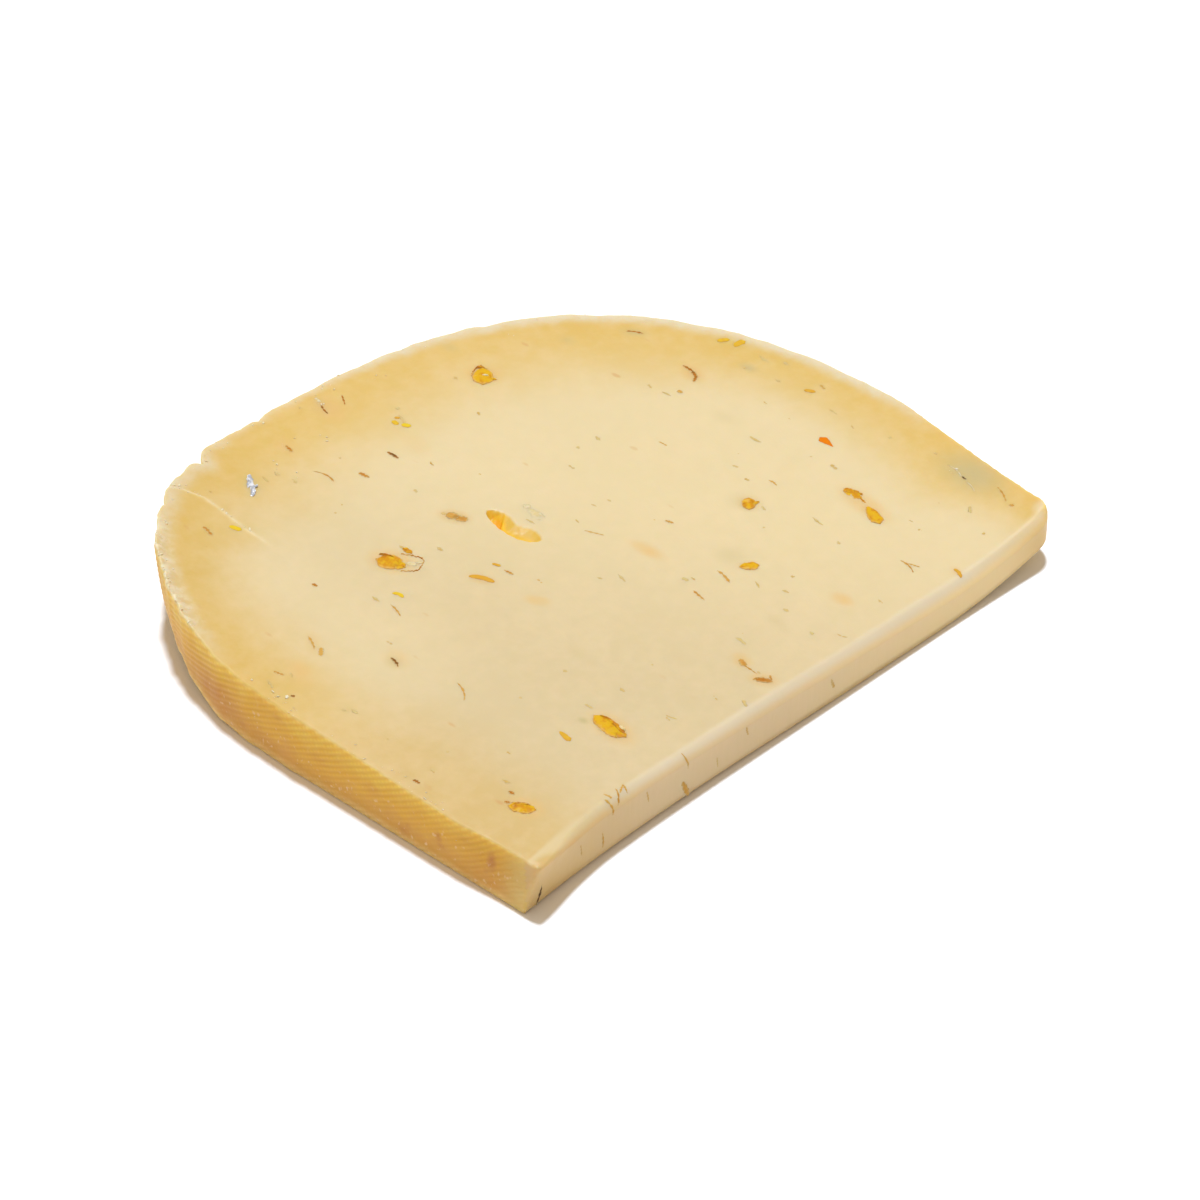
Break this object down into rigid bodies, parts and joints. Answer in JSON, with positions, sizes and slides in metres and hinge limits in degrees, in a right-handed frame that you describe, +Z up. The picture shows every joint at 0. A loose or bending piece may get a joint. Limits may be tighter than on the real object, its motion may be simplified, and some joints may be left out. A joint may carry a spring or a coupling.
{
  "type": "slice of seeded cheese",
  "caption": "Thin slice cut across half of a small pressed cheese wheel, with rind round three sides, one straight cut, golden seeds in a pale paste and an open eye.",
  "frame": {"origin": "under the middle of the slice's box, on the surface that it lies on", "axes": "+X along the straight cut, +Y from the cut towards the bulged rim of the wheel, +Z up through the thickness"},
  "size_m": [0.0838, 0.07, 0.0098],
  "materials": {
    "cheese": "smooth waxy cut paste, paler in the middle, with a golden ribbed rind",
    "seed": "hard golden seed with a slight gloss"
  },
  "bodies": {
    "root": {"cheese_slice": "cheese"}
  },
  "joints": []
}
